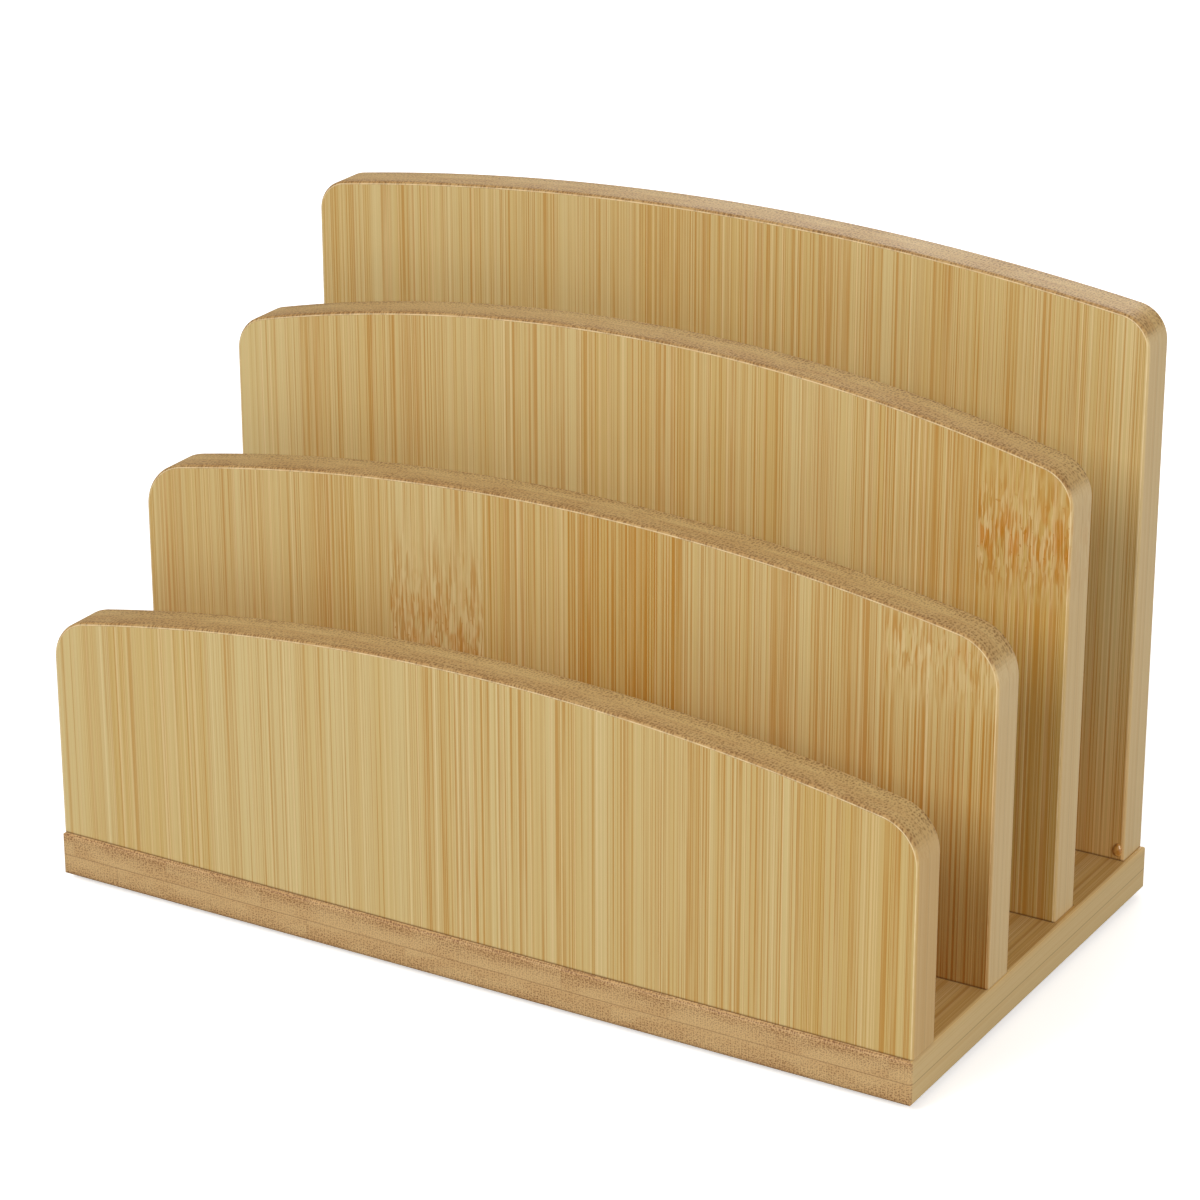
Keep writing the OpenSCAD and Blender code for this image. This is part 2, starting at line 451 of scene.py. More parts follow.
class BambooBoard(ShaderGroup):
    """Colour, gloss and height of a board glued up from two plies of bamboo strips.

    In the values below, a pair named after what it weighs is the slope and the start of a
    straight line, and one named step or with four values is a smooth step.
    """

    title = "bamboo_board"
    inputs = (
        Port("Place", "NodeSocketVector"),
        Port("Facing", "NodeSocketVector"),
        Port("Seed"),
        Port("Strip Width", value=28.4),
        Port("Strip Start"),
        Port("Half Thickness", value=5.75),
        Port("Ease", value=0.8),
        Port("Warmth"),
        Port("Lines"),
        Port("Rings"),
        Port("Lower Ply"),
        Port("Dot Depth", value=0.8),
        Port("Dot Size", value=1.0),
        Port("Shine", value=0.7),
        Port("Glue", value=0.2),
        Port("Pale", "NodeSocketColor"),
        Port("Warm", "NodeSocketColor"),
        Port("Line", "NodeSocketColor"),
        Port("Cream", "NodeSocketColor"),
        Port("Burnt", "NodeSocketColor"),
        Port("Side", "NodeSocketColor"),
        Port("End Pale", "NodeSocketColor"),
        Port("End Dark", "NodeSocketColor"),
        Port("Dot", "NodeSocketColor"),
        Port("Seam", "NodeSocketColor"),
    )
    outputs = (
        Port("Colour", "NodeSocketColor"),
        Port("Roughness"),
        Port("Height"),
    )

    # How the strips are laid and told apart
    stagger = 0.47
    strip_salt, ply_salt = 1.73, 31.7
    # Where the faces turn from long grain to end grain and to side grain
    corner_delay = (0.9, 0.08)
    end_step = (0.24, 0.43)
    side_step = (0.5, 0.85)
    # Glue and wear
    ply_glue_width, strip_glue_width = 0.2, 0.18
    strip_glue = (0.1, 0.06)
    wear_pace = (0.3, 0.2)
    # Gloss
    roughness = (0.12, 0.4)
    gloss_pace = (0.06, 0.05)
    gloss_spread = 0.14
    # Long grain: how it bends at a ring, how dense and how strong its marks are
    wave_pace = (0.25, 0.11)
    wave_reach = 0.9
    line_density, cluster_density = 0.1, 0.07
    bold_strength = (0.46, 0.38)
    fine_strength = (0.38, 0.22)
    ring_strength = (0.16, 0.52)
    ring_step = (0.0, 0.4)
    near_step = (0.3, 0.8)
    gap_push = -0.05
    gap_cream = 0.42
    burnt_strength = (-0.65, 0.8)
    side_strength = 0.85
    thinned = (-0.75, 1.0)
    # End grain: spacing in mm and salt of the dots, their size and how dark they are
    coarse_dots, fine_dots = (1.0, 0.0), (0.62, 5.3)
    dot_evenness = 0.6
    dot_drift = 13.7
    dot_reach = (0.12, 0.2)
    dot_step = (0.7, 1.4, 1.0, 0.0)
    coarse_strength = (0.25, 0.2)
    fine_dot_strength = (0.32, 0.32)
    most_dots = 0.85
    cloud_wide, cloud_deep = 14.0, 5.0
    sort_step = (0.4, 0.6)
    skin_shade = (0.5, 1.0, 0.0, 0.3)
    cloud_shade = (0.35, 0.65, 0.0, 0.3)

    def build(self, wire: Wiring, given: Outputs) -> dict[str, Socket]:
        """Fibres run along every strip; where they are cut across, their ends show as dots.

        Args:
            wire: Adds nodes to the group's tree.
            given: The group's inputs. Place and Facing run across, along and through.

        Returns:
            The colour, the roughness and the height of the fibres.
        """
        place, facing = wire.parts(given["Place"]), wire.parts(given["Facing"])
        across, along, through = place["X"], place["Y"], place["Z"]
        lean = {name: wire.math("ABSOLUTE", facing[name]) for name in "XYZ"}
        ply = wire.math("GREATER_THAN", through, 0.0)
        offset = wire.math("SUBTRACT", across, given["Strip Start"])
        shift = wire.times(ply, self.stagger)
        count = wire.math("ADD", wire.over(offset, given["Strip Width"]), shift)
        strip = wire.math("FLOOR", count)
        within = wire.math("SUBTRACT", count, strip)
        label = wire.line(strip, self.strip_salt, given["Seed"])
        label = wire.line(ply, self.ply_salt, label)

        # Long grain gives way to end grain as soon as a face leans along the fibres,
        # but later round a corner that turns across them
        other = wire.line(lean["X"], *self.corner_delay)
        cut = wire.over(lean["Y"], wire.math("ADD", lean["Y"], other))
        ends = wire.band(cut, *self.end_step)
        side = wire.band(lean["X"], *self.side_step)
        long_grain, line_mask = self.fibres(wire, given, (across, along, through), label, side)
        end_grain, dot_mask = self.fibre_ends(wire, given, across, through, label, ply)
        colour = wire.blend(ends, long_grain, end_grain)

        # Glue lines show where the board is seen from an end or a side
        edge_on = wire.band(lean["Z"], *self.side_step, 1.0, 0.0)
        mid = JointLine().place(wire, Distance=through, Width=self.ply_glue_width)["Mask"]
        mid = wire.times(mid, wire.times(edge_on, given["Glue"]))
        seam_gap = wire.times(wire.math("PINGPONG", within, 0.5), given["Strip Width"])
        seam = JointLine().place(wire, Distance=seam_gap, Width=self.strip_glue_width)["Mask"]
        seam = wire.times(seam, wire.line(ends, *self.strip_glue))
        glue = wire.math("MAXIMUM", mid, seam)
        colour = wire.blend(glue, colour, given["Seam"])
        # A painted highlight: a pale line along the eased edges, weaker in places
        wear = wire.noise(wire.paced(across, along, label, self.wear_pace))
        shine = EdgeShine().place(
            wire,
            Through=through,
            Half_Thickness=given["Half Thickness"],
            Ease=given["Ease"],
            Wear=wear,
        )["Mask"]
        colour = wire.blend(wire.times(shine, given["Shine"]), colour, given["Cream"])

        patchy = wire.noise(wire.paced(across, along, given["Seed"], self.gloss_pace))
        rough = wire.line(patchy, self.gloss_spread, wire.line(ends, *self.roughness))
        sunk = wire.blend(ends, line_mask, dot_mask)
        height = wire.math("SUBTRACT", 1.0, wire.math("ADD", sunk, glue))
        return {"Colour": colour, "Roughness": rough, "Height": height}

    def fibres(
        self,
        wire: Wiring,
        given: Outputs,
        place: Sequence[Socket],
        label: Socket,
        side: Socket,
    ) -> tuple[Socket, Socket]:
        """Long grain: noises stretched along the fibres, broken into short strokes at a ring.

        Args:
            wire: Adds nodes to the group's tree.
            given: The group's inputs.
            place: Place across, along and through the grain, in mm.
            label: Number of the strip, which gives each its own pattern.
            side: Mask of the faces at the sides of the strips, which are smoother.

        Returns:
            The colour and the mask of the dark lines.
        """
        across, along, through = place
        rings, warmth, rich = given["Rings"], given["Warmth"], given["Lines"]
        wave = wire.noise(wire.paced(across, along, label, self.wave_pace), 1.0)
        wave = wire.times(wire.math("SUBTRACT", wave, 0.5), rings)
        bent = wire.line(wave, self.wave_reach, across)

        def raw(grain: Grain) -> Socket:
            """Gives the noise of a streak, before its step.

            Args:
                grain: The streak.

            Returns:
                A value around 0.5.
            """
            kind = grain.value
            salted = wire.math("ADD", label, kind.salt)
            deep = wire.math("ADD", wire.over(through, kind.wide), salted)
            at = wire.vector(wire.over(bent, kind.wide), wire.over(along, kind.long), deep)
            return wire.noise(at, kind.detail, kind.rough)

        def streak(grain: Grain) -> Socket:
            """Gives the mask of a streak."""
            return wire.band(raw(grain), *grain.value.step)

        dense = wire.times(streak(Grain.CLUSTER), self.cluster_density)
        dense = wire.line(rich, self.line_density, dense)
        bold = wire.math("ADD", raw(Grain.BOLD), dense)
        strong = wire.times(streak(Grain.FADE), wire.line(rich, *self.bold_strength))
        bold = wire.times(wire.band(bold, *Grain.BOLD.value.step), strong)
        fine = wire.times(streak(Grain.FINE), streak(Grain.PATCH))
        fine = wire.times(fine, wire.line(rich, *self.fine_strength))

        # Round a ring the lines break into strokes with pale lens-shaped gaps between them
        gap = streak(Grain.GAP)
        near = wire.band(rings, *self.near_step)
        far = wire.math("SUBTRACT", 1.0, near)
        stroke = wire.times(raw(Grain.STROKE), near)
        stroke = wire.line(raw(Grain.FAR_STROKE), far, stroke)
        stroke = wire.band(wire.line(gap, self.gap_push, stroke), *Grain.STROKE.value.step)
        speck = wire.times(streak(Grain.SPECK), near)
        zone = wire.band(rings, *self.ring_step)
        broken = wire.times(wire.line(rings, *self.ring_strength), zone)
        broken = wire.times(wire.math("MAXIMUM", stroke, speck), broken)

        warm = wire.math("ADD", warmth, streak(Grain.GROUND))
        warm = wire.math("MINIMUM", wire.math("MAXIMUM", warm, 0.0), 1.0)
        colour = wire.blend(warm, given["Pale"], given["Warm"])
        burnt = wire.times(wire.times(streak(Grain.BURNT), rings), rings)
        burnt = wire.times(burnt, wire.line(gap, *self.burnt_strength))
        colour = wire.blend(burnt, colour, given["Burnt"])
        lens = wire.times(wire.times(gap, rings), self.gap_cream)
        bright = wire.math("MAXIMUM", streak(Grain.SHEEN), lens)
        colour = wire.blend(bright, colour, given["Cream"])
        colour = wire.blend(wire.times(side, self.side_strength), colour, given["Side"])
        whole = wire.times(bold, wire.line(zone, *self.thinned))
        lines = wire.math("MAXIMUM", wire.math("MAXIMUM", whole, fine), broken)
        lines = wire.times(lines, wire.line(side, *self.thinned))
        return wire.blend(lines, colour, given["Line"]), lines

    def fibre_ends(
        self,
        wire: Wiring,
        given: Outputs,
        across: Socket,
        through: Socket,
        label: Socket,
        ply: Socket,
    ) -> tuple[Socket, Socket]:
        """End grain: a cell pattern of dots, darker towards the skin on both faces.

        Args:
            wire: Adds nodes to the group's tree.
            given: The group's inputs.
            across: Place across the grain, in mm.
            through: Place through the board, in mm.
            label: Number of the strip.
            ply: 1 in the back or upper ply, 0 in the front or lower one.

        Returns:
            The colour and the mask of the dots.
        """
        skin = wire.over(wire.math("ABSOLUTE", through), given["Half Thickness"])
        deep = wire.over(wire.over(through, given["Dot Depth"]), given["Dot Size"])
        along_skin = wire.over(across, given["Dot Size"])

        def dots(wide: float, salt: float) -> Socket:
            """Draws dots in a cell pattern, larger towards the skin.

            Args:
                wide: Their spacing, in mm.
                salt: Moves the pattern, so that no two match.

            Returns:
                The mask of the dots.
            """
            cells = wire.node("TexVoronoi", voronoi_dimensions="2D", feature="F1")
            moved = wire.node("VectorMath", operation="ADD")
            at = wire.vector(wire.over(along_skin, wide), wire.over(deep, wide), 0.0)
            wire.feed(moved.inputs[0], at)
            drift = wire.line(label, self.dot_drift, salt)
            wire.feed(moved.inputs[1], wire.vector(drift, drift, 0.0))
            wire.feed(cells.inputs["Vector"], moved.outputs["Vector"])
            cells.inputs["Scale"].default_value = 1.0
            cells.inputs["Randomness"].default_value = self.dot_evenness
            reach = wire.line(skin, *self.dot_reach)
            return wire.band(wire.over(cells.outputs["Distance"], reach), *self.dot_step)

        coarse, fine = dots(*self.coarse_dots), dots(*self.fine_dots)
        cloud_at = wire.vector(
            wire.over(across, self.cloud_wide), wire.over(through, self.cloud_deep), label
        )
        cloud = wire.noise(cloud_at, 2.0)
        sort = wire.band(cloud, *self.sort_step)
        amount = wire.math(
            "ADD",
            wire.times(coarse, wire.line(sort, *self.coarse_strength)),
            wire.times(fine, wire.line(skin, *self.fine_dot_strength)),
        )
        amount = wire.math("MINIMUM", amount, self.most_dots)
        lower = wire.times(wire.math("SUBTRACT", 1.0, ply), given["Lower Ply"])
        shade = wire.math("ADD", lower, wire.band(skin, *self.skin_shade))
        shade = wire.math("ADD", shade, wire.band(cloud, *self.cloud_shade))
        colour = wire.blend(shade, given["End Pale"], given["End Dark"])
        return wire.blend(amount, colour, given["Dot"]), amount


@dataclass(frozen=True)
class RingPlace:
    """Where one growth ring shows, in mm."""

    left: float
    right: float
    height: float
    up: float = 30.0
    down: float = 5.0
    strength: float = 1.0


@dataclass(frozen=True)
class StripShade:
    """How warm a strip is and how strong its lines are, 0 to 1, from its left edge in mm."""

    left: float
    warmth: float
    lines: float


@dataclass(frozen=True)
class BambooFinish:
    """Satin lacquered bamboo."""

    pale: Colour = linear(213, 190, 133)
    warm: Colour = linear(198, 158, 76)
    line: Colour = linear(180, 118, 12)
    # Cream is used for the sheen streaks, the pale gaps round a ring and the painted highlight
    # along the eased edges
    cream: Colour = linear(238, 213, 164)
    burnt: Colour = linear(198, 128, 44)
    side: Colour = linear(218, 190, 142)
    end_pale: Colour = linear(205, 171, 112)
    end_dark: Colour = linear(182, 138, 82)
    dot: Colour = linear(126, 88, 40)
    seam: Colour = linear(104, 62, 22)
    # Painted shade towards the foot of a slot: the tint it multiplies in, and how far above the
    # slot's floor it fades, in mm
    slot_shade_tint: Colour = (1.0, 0.8, 0.6)
    slot_shade_reach: tuple[float, float] = (5.0, 80.0)
    slot_step: tuple[float, float] = (0.5, 0.85)
    joint_width: float = 0.55
    joint_strength: tuple[float, float] = (-0.6, 0.75)
    bump: float = 0.25
    relief: float = 0.00012
    gloss: float = 0.3
    coat: float = 0.06
    coat_roughness: float = 0.3

    def material(self, board: "Board") -> bpy.types.Material:
        """Makes the board's material.

        Args:
            board: The board with its own grain, seed, strips and rings.

        Returns:
            The material.
        """
        made = bpy.data.materials.new(board.slot)
        made.use_nodes = True
        wire = Wiring(made.node_tree)
        shader = made.node_tree.nodes["Principled BSDF"]
        where = wire.node("TexCoord")
        place = wire.parts(where.outputs["Object"])
        facing = wire.parts(where.outputs["Normal"])
        order = board.axes.value
        middle = dict(zip("XYZ", board.middle))
        mm = {name: wire.line(place[name], PER_M, -middle[name]) for name in "XYZ"}
        across, along, through = (mm[name] for name in order)
        rings: Value = 0.0
        for ring in board.rings:
            mask = GrowthRing().place(
                wire,
                Across=across,
                Along=along,
                Left=ring.left,
                Right=ring.right,
                Height=ring.height - middle[order[1]],
                Reach_Up=ring.up,
                Reach_Down=ring.down,
                Strength=ring.strength,
            )["Mask"]
            rings = mask if rings == 0.0 else wire.math("MAXIMUM", rings, mask)
        warmth: Value = board.strips[0].warmth
        lines: Value = board.strips[0].lines
        for before, after in zip(board.strips, board.strips[1:]):
            past = wire.math("GREATER_THAN", across, after.left)
            warmth = wire.line(past, after.warmth - before.warmth, warmth)
            lines = wire.line(past, after.lines - before.lines, lines)
        wood = BambooBoard().place(
            wire,
            Place=wire.vector(across, along, through),
            Facing=wire.vector(*(facing[name] for name in order)),
            Seed=board.seed,
            Strip_Width=board.strip_width,
            Strip_Start=board.strip_start,
            Half_Thickness=board.thickness / 2,
            Ease=board.ease,
            Warmth=warmth,
            Lines=lines,
            Rings=rings,
            Lower_Ply=board.lower_ply,
            Dot_Depth=board.dot_depth,
            Dot_Size=board.dot_size,
            Shine=board.shine,
            Glue=board.glue,
            Pale=self.pale,
            Warm=self.warm,
            Line=self.line,
            Cream=self.cream,
            Burnt=self.burnt,
            Side=self.side,
            End_Pale=self.end_pale,
            End_Dark=self.end_dark,
            Dot=self.dot,
            Seam=self.seam,
        )
        colour = wood["Colour"]
        if board.pool > 0.0:
            # Painted shade: the colour darkens and warms towards the foot of a slot, on the
            # faces that look into it
            above = wire.math("SUBTRACT", mm["Z"], board.slot_floor - middle["Z"])
            fade = wire.band(above, *self.slot_shade_reach, board.pool, 0.0)
            towards = wire.times(facing[order[2]], board.slot_side)
            shown = wire.times(fade, wire.band(towards, *self.slot_step))
            colour = wire.blend(shown, colour, self.slot_shade_tint, "MULTIPLY")
        thin = wire.line(wire.math("ABSOLUTE", facing["X"]), *self.joint_strength)
        for distance in board.joints(wire, mm):
            dirt = JointLine().place(wire, Distance=distance, Width=self.joint_width)["Mask"]
            colour = wire.blend(wire.times(dirt, thin), colour, self.seam)
        wire.feed(shader.inputs["Base Color"], colour)
        wire.feed(shader.inputs["Roughness"], wood["Roughness"])
        bump = wire.node("Bump")
        bump.inputs["Strength"].default_value = self.bump
        bump.inputs["Distance"].default_value = self.relief
        wire.feed(bump.inputs["Height"], wood["Height"])
        wire.feed(shader.inputs["Normal"], bump.outputs["Normal"])
        shader.inputs["Specular IOR Level"].default_value = self.gloss
        shader.inputs["Coat Weight"].default_value = self.coat
        shader.inputs["Coat Roughness"].default_value = self.coat_roughness
        return made


@dataclass
class Board:
    """One board of the sorter: a CAD node with its own cut of bamboo."""

    node: str
    slot: str
    axes: Axes
    seed: float
    strip_start: float = 0.0
    strip_width: float = 28.4
    rings: tuple[RingPlace, ...] = ()
    strips: tuple[StripShade, ...] = (StripShade(-200.0, 0.3, 0.5),)
    lower_ply: float = 0.25
    dot_depth: float = 1.4
    dot_size: float = 1.2
    # Strength of the painted highlight along the eased edges
    shine: float = 0.85
    glue: float = 0.2
    # Strength of the painted shade at the foot of a slot, the slot's floor in mm, and which way
    # the shaded faces look
    pool: float = 0.0
    slot_floor: float = 13.5
    slot_side: float = -1.0
    ease: float = 0.8
    finish: BambooFinish = BambooFinish()
    middle: tuple[float, float, float] = field(init=False)
    thickness: float = field(init=False)
    low: np.ndarray = field(init=False)
    high: np.ndarray = field(init=False)

    def __post_init__(self) -> None:
        """Reads the board's own size from the frame."""
        low, high = (np.array(c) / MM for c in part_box(self.node))
        through = "XYZ".index(self.axes.value[2])
        centre = np.zeros(3)
        centre[through] = (low + high)[through] / 2
        self.middle = tuple(float(c) for c in centre)
        self.thickness = float((high - low)[through])
        self.low, self.high = low, high

    def joints(self, wire: Wiring, mm: dict[str, Socket]) -> list[Socket]:
        """Distances to the joints that darken this board.

        Args:
            wire: Adds nodes to the material's tree.
            mm: Places along X, Y and Z in mm, less the board's middle.

        Returns:
            One distance in mm for each joint.
        """
        return [wire.math("SUBTRACT", mm["Z"], float(self.low[2]) - self.middle[2])]

    def dress(self, nodes: dict[str, bpy.types.Object]) -> None:
        """Gives the CAD node its bamboo.

        Args:
            nodes: The frame's nodes.
        """
        put_on(nodes[self.node], self.finish.material(self))
        LOG.info("%s dressed, %.1f mm thick", self.node, self.thickness)


@dataclass
class BaseBoard(Board):
    """The flat board under the four panels."""

    panels: tuple[str, ...] = ROWS
    stretch: tuple[float, float] = (5.0, 1.0)
    drop_stretch: float = 4.0

    def joints(self, wire: Wiring, mm: dict[str, Socket]) -> list[Socket]:
        """Distances to the feet of the four panels.

        Args:
            wire: Adds nodes to the material's tree.
            mm: Places along X, Y and Z in mm, less the board's middle.

        Returns:
            One distance in mm, to the nearest panel's foot, far away on the other faces.
        """
        near: Value = FAR
        for name in self.panels:
            low, high = (np.array(c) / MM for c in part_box(name + "_panel"))
            centre, half = (low + high) / 2, (high - low) / 2
            gaps = []
            for i, axis in enumerate("XY"):
                off = wire.math("ABSOLUTE", wire.math("SUBTRACT", mm[axis], float(centre[i])))
                off = wire.math("SUBTRACT", off, float(half[i]))
                gaps.append(wire.times(off, self.stretch[i]))
            outside = wire.math("ABSOLUTE", wire.math("MAXIMUM", *gaps))
            near = wire.math("MINIMUM", near, outside)
        drop = wire.math("SUBTRACT", float(self.high[2]) - self.middle[2], mm["Z"])
        return [wire.line(drop, self.drop_stretch, near)]


def put_on(obj: bpy.types.Object, material: bpy.types.Material) -> None:
    """Puts one material on every face of an object.

    Args:
        obj: The object.
        material: The material.
    """
    if not obj.material_slots:
        obj.data.materials.append(material)
    for slot in obj.material_slots:
        slot.material = material


@dataclass(frozen=True)
class PlainFinish:
    """A finish of one stuff with fine mottling: plated steel, dowel wood or rubber."""

    name: str
    light: Colour
    dark: Colour
    rough: float
    metal: float = 0.0
    grain: tuple[float, float, float] = (1.0, 1.0, 1.0)
    depth: float = 0.00002
    bump: float = 0.3
    rougher: float = 0.15
    layers: tuple[float, float] = (4.0, 0.6)
    mottle: tuple[float, float] = (0.3, 0.7)

    def material(self) -> bpy.types.Material:
        """Makes the material: a noise stretched by grain mixes the two colours.

        Returns:
            The material.
        """
        made = bpy.data.materials.new(self.name)
        made.use_nodes = True
        wire = Wiring(made.node_tree)
        shader = made.node_tree.nodes["Principled BSDF"]
        place = wire.parts(wire.node("TexCoord").outputs["Object"])
        scaled = [wire.times(place[n], PER_M * g) for n, g in zip("XYZ", self.grain)]
        mottle = wire.band(wire.noise(wire.vector(*scaled), *self.layers), *self.mottle)
        wire.feed(shader.inputs["Base Color"], wire.blend(mottle, self.light, self.dark))
        wire.feed(shader.inputs["Roughness"], wire.line(mottle, self.rougher, self.rough))
        shader.inputs["Metallic"].default_value = self.metal
        bump = wire.node("Bump")
        bump.inputs["Strength"].default_value = self.bump
        bump.inputs["Distance"].default_value = self.depth
        wire.feed(bump.inputs["Height"], mottle)
        wire.feed(shader.inputs["Normal"], bump.outputs["Normal"])
        return made


@dataclass
class Hardware:
    """The hidden screws and dowels and the four feet."""

    rows: tuple[str, ...] = ROWS
    corners: tuple[str, ...] = ("front_left", "front_right", "back_left", "back_right")
    steel: PlainFinish = PlainFinish(
        "zinc_steel", (0.72, 0.72, 0.7), (0.5, 0.5, 0.49), 0.25, 1.0, (0.9, 0.9, 0.5)
    )
    dowel: PlainFinish = PlainFinish(
        "dowel_wood", linear(214, 180, 132), linear(186, 146, 98), 0.6, 0.0, (1.2, 1.2, 0.1)
    )
    rubber: PlainFinish = PlainFinish(
        "foot_rubber", (0.035, 0.035, 0.037), (0.02, 0.02, 0.021), 0.7
    )

    def dress(self, nodes: dict[str, bpy.types.Object]) -> None:
        """Gives screws, dowels and feet their materials.

        Args:
            nodes: The frame's nodes.
        """
        for finish, names in (
            (self.steel, [row + "_screws" for row in self.rows]),
            (self.dowel, [row + "_dowels" for row in self.rows]),
            (self.rubber, [corner + "_foot" for corner in self.corners]),
        ):
            material = finish.material()
            for name in names:
                put_on(nodes[name], material)
            LOG.info("%s on %d nodes", finish.name, len(names))


@dataclass(frozen=True)
class GlueFinish:
    """Clear amber glue, dried glossy over the wood."""

    thin: Colour = linear(214, 160, 82)
    thick: Colour = linear(186, 124, 48)
    waves: float = 900.0
    cloud: tuple[float, float] = (0.35, 0.65)
    roughness: tuple[float, float] = (0.06, 0.08)
    gloss: float = 0.8
    coat: float = 0.8
    coat_roughness: float = 0.05

    def material(self) -> bpy.types.Material:
        """Makes the material: cloudy amber under a hard shine.

        Returns:
            The material.
        """
        made = bpy.data.materials.new("glue_amber")
        made.use_nodes = True
        wire = Wiring(made.node_tree)
        shader = made.node_tree.nodes["Principled BSDF"]
        place = wire.parts(wire.node("TexCoord").outputs["Object"])
        at = wire.vector(*(wire.times(place[n], self.waves) for n in "XYZ"))
        cloud = wire.band(wire.noise(at, 3.0), *self.cloud)
        wire.feed(shader.inputs["Base Color"], wire.blend(cloud, self.thin, self.thick))
        wire.feed(shader.inputs["Roughness"], wire.line(cloud, *self.roughness))
        shader.inputs["Specular IOR Level"].default_value = self.gloss
        shader.inputs["Coat Weight"].default_value = self.coat
        shader.inputs["Coat Roughness"].default_value = self.coat_roughness
        return made


@dataclass
class GlueBead:
    """A dried drop of glue on the front of the back panel, just above its foot."""

    across: float = 121.7
    height: float = 16.3
    wide: float = 2.5
    tall: float = 3.8
    proud: float = 0.75
    sunk: float = 0.2
    narrowing: float = 0.25
    rows: int = 15
    columns: int = 32

    def build(self) -> bpy.types.Object:
        """Half an egg: wide and tall in the panel's face, proud of it in front, sunk behind.

        With v from -90 to 90 degrees through the drop and u once round it, the point is
        (cos v cos u * wide / 2, -sin v * proud or sunk, cos v sin u * tall / 2). The width is
        a quarter more at the bottom and a quarter less at the top.

        Returns:
            The drop.
        """
        face = float(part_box("back_panel")[0][1]) / MM
        v = np.radians(np.linspace(-90.0, 90.0, self.rows))[1:-1, None]
        u = np.linspace(0.0, 2 * np.pi, self.columns, endpoint=False)[None, :]
        rise = np.cos(v) * np.sin(u)
        narrow = 1.0 - self.narrowing * rise
        x = self.across + np.cos(v) * np.cos(u) * narrow * self.wide / 2
        depth = np.where(v > 0, self.proud, self.sunk) * np.sin(v)
        y = face - np.broadcast_to(depth, rise.shape)
        z = self.height + rise * self.tall / 2
        points = np.column_stack([x.ravel(), y.ravel(), z.ravel()])
        back = [self.across, face + self.sunk, self.height]
        front = [self.across, face - self.proud, self.height]
        points = np.vstack([points, back, front]) * MM
        first = np.arange(self.columns)
        after = (first + 1) % self.columns
        rings = np.arange(self.rows - 3)[:, None] * self.columns
        low, high = rings + first, rings + after
        quads = np.stack([low, high, high + self.columns, low + self.columns], -1).reshape(-1, 4)
        last = (self.rows - 3) * self.columns
        count = len(points)
        closing = np.column_stack([np.full_like(first, count - 2), after, first])
        tip = np.column_stack([last + first, last + after, np.full_like(first, count - 1)])
        mesh = bpy.data.meshes.new("glue_bead")
        mesh.from_pydata(points.tolist(), [], quads.tolist() + closing.tolist() + tip.tolist())
        mesh.polygons.foreach_set("use_smooth", np.ones(len(mesh.polygons), bool))
        made = bpy.data.objects.new("glue_bead", mesh)
        bpy.context.scene.collection.objects.link(made)
        put_on(made, GlueFinish().material())
        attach(made, "root")
        LOG.info("glue_bead made, %d faces", len(mesh.polygons))
        return made


@dataclass(frozen=True)
class SoftLight:
    """One square soft light: where it hangs and its sides in metres, its power in watts."""

    name: str
    place: tuple[float, float, float]
    size: float
    power: float

    def hang(self, aim: Sequence[float]) -> None:
        """Hangs the light.

        Args:
            aim: The point that it faces.
        """
        data = bpy.data.lights.new(self.name, "AREA")
        data.shape, data.size, data.energy = "SQUARE", self.size, self.power
        made = bpy.data.objects.new(self.name, data)
        back = np.array(self.place, float) - np.array(aim, float)
        back /= np.linalg.norm(back)
        side = np.cross([0.0, 0.0, 1.0], back)
        side /= np.linalg.norm(side)
        turn = Matrix(np.column_stack([side, np.cross(back, side), back]).tolist()).to_4x4()
        made.matrix_world = Matrix.Translation(self.place) @ turn
        bpy.context.scene.collection.objects.link(made)


